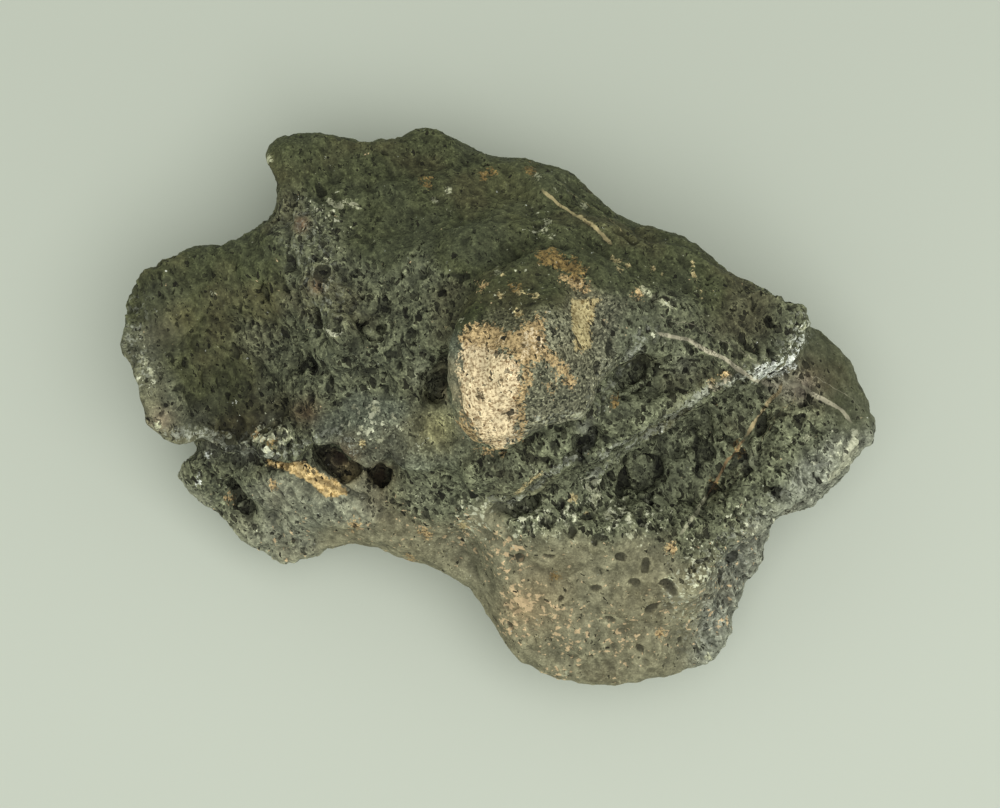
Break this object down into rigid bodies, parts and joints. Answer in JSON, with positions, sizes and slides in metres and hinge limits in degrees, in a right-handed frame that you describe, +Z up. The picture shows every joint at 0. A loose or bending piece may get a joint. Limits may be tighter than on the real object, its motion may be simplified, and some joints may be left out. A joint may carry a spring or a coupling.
{
  "type": "suiseki stone",
  "caption": "Natural viewing stone of dark vesicular basalt: a long craggy mass with overhanging ledges, pitted hollows, a rounded knob on top and a flat foot.",
  "frame": {"origin": "middle of the stone's bounding box in X and Y, on the plane that its flat foot rests on", "axes": "+X along the stone, from the bowl at its left end to the right-hand lobe; +Y from the side with the lower lobes to the high back; +Z up"},
  "size_m": [0.1904, 0.1438, 0.0925],
  "materials": {
    "vesicular_basalt": "rough"
  },
  "bodies": {
    "root": {"stone": "vesicular_basalt"}
  },
  "joints": []
}
